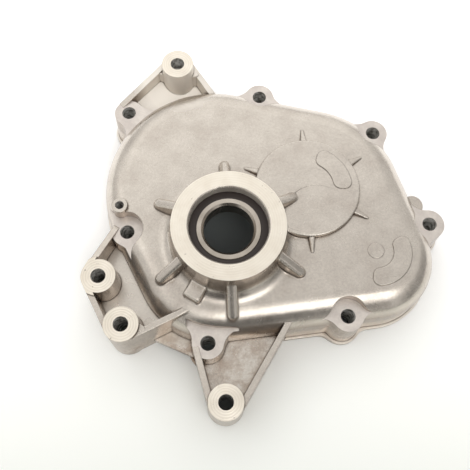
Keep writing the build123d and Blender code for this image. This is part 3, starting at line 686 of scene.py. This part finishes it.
def instance_ring(name, material, item):
    """A node tree that puts an item at equal steps round a circle, at a centre that is given."""
    tree = bpy.data.node_groups.new(name, "GeometryNodeTree")
    face = tree.interface
    face.new_socket("Geometry", in_out="OUTPUT", socket_type="NodeSocketGeometry")
    face.new_socket("Count", in_out="INPUT", socket_type="NodeSocketInt")
    for label in ("Circle radius", "Item radius", "First angle"):
        face.new_socket(label, in_out="INPUT", socket_type="NodeSocketFloat")
    face.new_socket("Centre", in_out="INPUT", socket_type="NodeSocketVector")
    given = add(tree, "NodeGroupInput").outputs
    ring = add(tree, "GeometryNodeMeshCircle", {
        "Vertices": given["Count"], "Radius": given["Circle radius"],
    })
    spread = add(tree, "GeometryNodeInstanceOnPoints", {"Points": ring, "Instance": item(tree, given)})
    turn = add(tree, "ShaderNodeCombineXYZ", {"Z": given["First angle"]})
    placed = add(tree, "GeometryNodeTransform", {
        "Geometry": spread, "Translation": given["Centre"], "Rotation": turn,
    })
    real = add(tree, "GeometryNodeRealizeInstances", {"Geometry": placed})
    smooth = add(tree, "GeometryNodeSetShadeSmooth", {"Geometry": real})
    done = add(tree, "GeometryNodeSetMaterial", {"Geometry": smooth, "Material": material})
    add(tree, "NodeGroupOutput", {"Geometry": done})
    return tree


def ball_item(tree, given):
    """One ball."""
    return add(tree, "GeometryNodeMeshUVSphere", {
        "Segments": 32, "Rings": 20, "Radius": given["Item radius"],
    })


def rivet_item(tree, given):
    """One rivet: a shank between two domed heads. Its radius is the head's."""
    shank_radius = add(tree, MATHS, [given["Item radius"], RIVET_SHANK_SHARE], operation="MULTIPLY")
    shank = add(tree, "GeometryNodeMeshCylinder", {
        "Vertices": 16, "Radius": shank_radius, "Depth": RIVET_SHANK_LENGTH,
    })
    dome = add(tree, "GeometryNodeMeshUVSphere", {
        "Segments": 20, "Rings": 12, "Radius": given["Item radius"],
    })
    joined = add(tree, "GeometryNodeJoinGeometry")
    tree.links.new(shank.outputs["Mesh"], joined.inputs[0])
    for height in (RIVET_HEAD_HEIGHT, -RIVET_HEAD_HEIGHT):
        head = add(tree, "GeometryNodeTransform", {
            "Geometry": dome, "Translation": (0, 0, height), "Scale": (1, 1, RIVET_HEAD_FLATNESS),
        })
        tree.links.new(head.outputs[0], joined.inputs[0])
    return joined


def ring_of_items(context, name, tree, values):
    """Runs a node tree of items round a circle and returns the result as a plain mesh object."""
    holder = bpy.data.objects.new(name, bpy.data.meshes.new(name))
    context.scene.collection.objects.link(holder)
    modifier = holder.modifiers.new("items", "NODES")
    modifier.node_group = tree
    for socket in tree.interface.items_tree:
        if socket.name in values:
            modifier[socket.identifier] = values[socket.name]
    evaluated = holder.evaluated_get(context.evaluated_depsgraph_get())
    holder.data = bpy.data.meshes.new_from_object(evaluated)
    holder.modifiers.clear()
    return holder


def bearing_measures(name):
    """Centre, pitch radius and ball radius of a bearing, read from its CAD nodes."""
    low, high = (Vector(corner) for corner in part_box(f"{name}_bearing_balls"))
    ring_low, ring_high = (Vector(corner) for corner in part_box(f"{name}_bearing_outer_ring"))
    centre = (ring_low + ring_high) / 2
    radius = (high.z - low.z) / 2
    return centre, high.x - centre.x - radius, radius


class CASE_OT_balls(bpy.types.Operator):
    """The balls and rivets of the three bearings, spread by Geometry Nodes"""
    bl_idname = "case.balls"
    bl_label = "Balls and rivets"

    def execute(self, context):
        balls = instance_ring("balls round a bearing", polished_steel(), ball_item)
        rivets = instance_ring("rivets round a cage", bpy.data.materials["steel_strip_pressed"], rivet_item)
        for name in BEARINGS:
            centre, pitch, radius = bearing_measures(name)
            count = BALL_COUNTS[name]
            half_step = math.pi / count
            for kind, tree, size, angle in (
                ("balls", balls, radius, 0.0), ("rivets", rivets, RIVET_HEAD_RADIUS, half_step),
            ):
                piece = ring_of_items(context, f"{name}_bearing_{kind}_shown", tree, {
                    "Count": count, "Circle radius": pitch, "Item radius": size,
                    "First angle": angle, "Centre": centre,
                })
                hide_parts(f"{name}_bearing_{kind}")
                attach(piece, f"{name}_ball_set")
        return {"FINISHED"}


class CASE_OT_stage(bpy.types.Operator):
    """The paper that the case lies on, the white tent that lights it, and the camera"""
    bl_idname = "case.stage"
    bl_label = "Stage"

    def execute(self, context):
        self.floor(context)
        self.world(context)
        self.camera(context)
        context.scene.view_settings.view_transform = "Standard"
        return {"FINISHED"}

    def floor(self, context):
        """The sheet of paper, as one square."""
        half = context.scene.case_sizes.floor
        mesh = bpy.data.meshes.new("floor")
        corners = [(-half, -half, 0), (half, -half, 0), (half, half, 0), (-half, half, 0)]
        mesh.from_pydata(corners, [], [(0, 1, 2, 3)])
        mesh.materials.append(paper_sweep())
        floor = bpy.data.objects.new("floor", mesh)
        context.scene.collection.objects.link(floor)

    def world(self, context):
        """A white tent with brighter patches, and the dark opening that the camera looks in through."""
        world = bpy.data.worlds.new("studio")
        context.scene.world = world
        world.use_nodes = True
        tree = world.node_tree
        tree.nodes.clear()
        direction = add(tree, "ShaderNodeTexCoord").outputs["Generated"]
        level = TENT_LEVEL
        for _, middle, end, full, strength in TENT_PATCHES:
            patch = self.patch(tree, direction, middle, end, full)
            level = add(tree, MATHS, [patch, strength, level], operation="MULTIPLY_ADD")
        opening = self.patch(tree, direction, *OPENING)
        left = add(tree, RANGE, [opening, 0.0, 1.0, 1.0, OPENING_LEVEL])
        level = add(tree, MATHS, [level, left], operation="MULTIPLY")
        light = add(tree, "ShaderNodeBackground", {"Color": "#FFFEFC", "Strength": level})
        backdrop = add(tree, "ShaderNodeBackground", {"Color": "#FFFFFF", "Strength": 1.0})
        seen = add(tree, "ShaderNodeLightPath").outputs["Is Camera Ray"]
        add(tree, "ShaderNodeOutputWorld", [add(tree, "ShaderNodeMixShader", [seen, light, backdrop])])

    def patch(self, tree, direction, middle, end, full):
        """1 in the middle of a round patch of the tent and 0 outside it."""
        towards = add(tree, VECTORS, [direction, Vector(middle).normalized()], operation="DOT_PRODUCT")
        edges = (math.cos(math.radians(end)), math.cos(math.radians(full)))
        return add(tree, RANGE, [towards, *edges, 0.0, 1.0], interpolation_type="SMOOTHSTEP")

    def camera(self, context):
        """The camera, where the photograph was taken from."""
        data = bpy.data.cameras.new("camera")
        data.sensor_width = CAMERA_SENSOR
        data.lens = CAMERA_LENS
        camera = bpy.data.objects.new("camera", data)
        context.scene.collection.objects.link(camera)
        right = CAMERA_LOOKS.cross(CAMERA_UP).normalized()
        up = right.cross(CAMERA_LOOKS).normalized()
        turn = Matrix((right, up, -CAMERA_LOOKS.normalized())).transposed()
        camera.matrix_world = Matrix.Translation(CAMERA_PLACE) @ turn.to_4x4()
        context.scene.camera = camera


class CASE_PT_panel(bpy.types.Panel):
    bl_idname = "CASE_PT_panel"
    bl_label = "Transmission case"
    bl_space_type = "VIEW_3D"
    bl_region_type = "UI"
    bl_category = "Case"

    def draw(self, context):
        for operator in OPERATORS:
            self.layout.operator(operator.bl_idname)
        for group in (context.scene.case_paint, context.scene.case_sizes):
            for name in group.__annotations__:
                self.layout.prop(group, name)


OPERATORS = (CASE_OT_casting, CASE_OT_bearings, CASE_OT_balls, CASE_OT_stage)
CLASSES = (CasePaint, CaseSizes, *OPERATORS, CASE_PT_panel)


def register():
    for each in CLASSES:
        bpy.utils.register_class(each)
    bpy.types.Scene.case_paint = bpy.props.PointerProperty(type=CasePaint)
    bpy.types.Scene.case_sizes = bpy.props.PointerProperty(type=CaseSizes)


def unregister():
    del bpy.types.Scene.case_sizes
    del bpy.types.Scene.case_paint
    for each in reversed(CLASSES):
        bpy.utils.unregister_class(each)


def main():
    register()
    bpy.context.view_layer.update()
    bpy.ops.case.casting()
    bpy.ops.case.bearings()
    bpy.ops.case.balls()
    bpy.ops.case.stage()


if __name__ == "__main__":
    main()
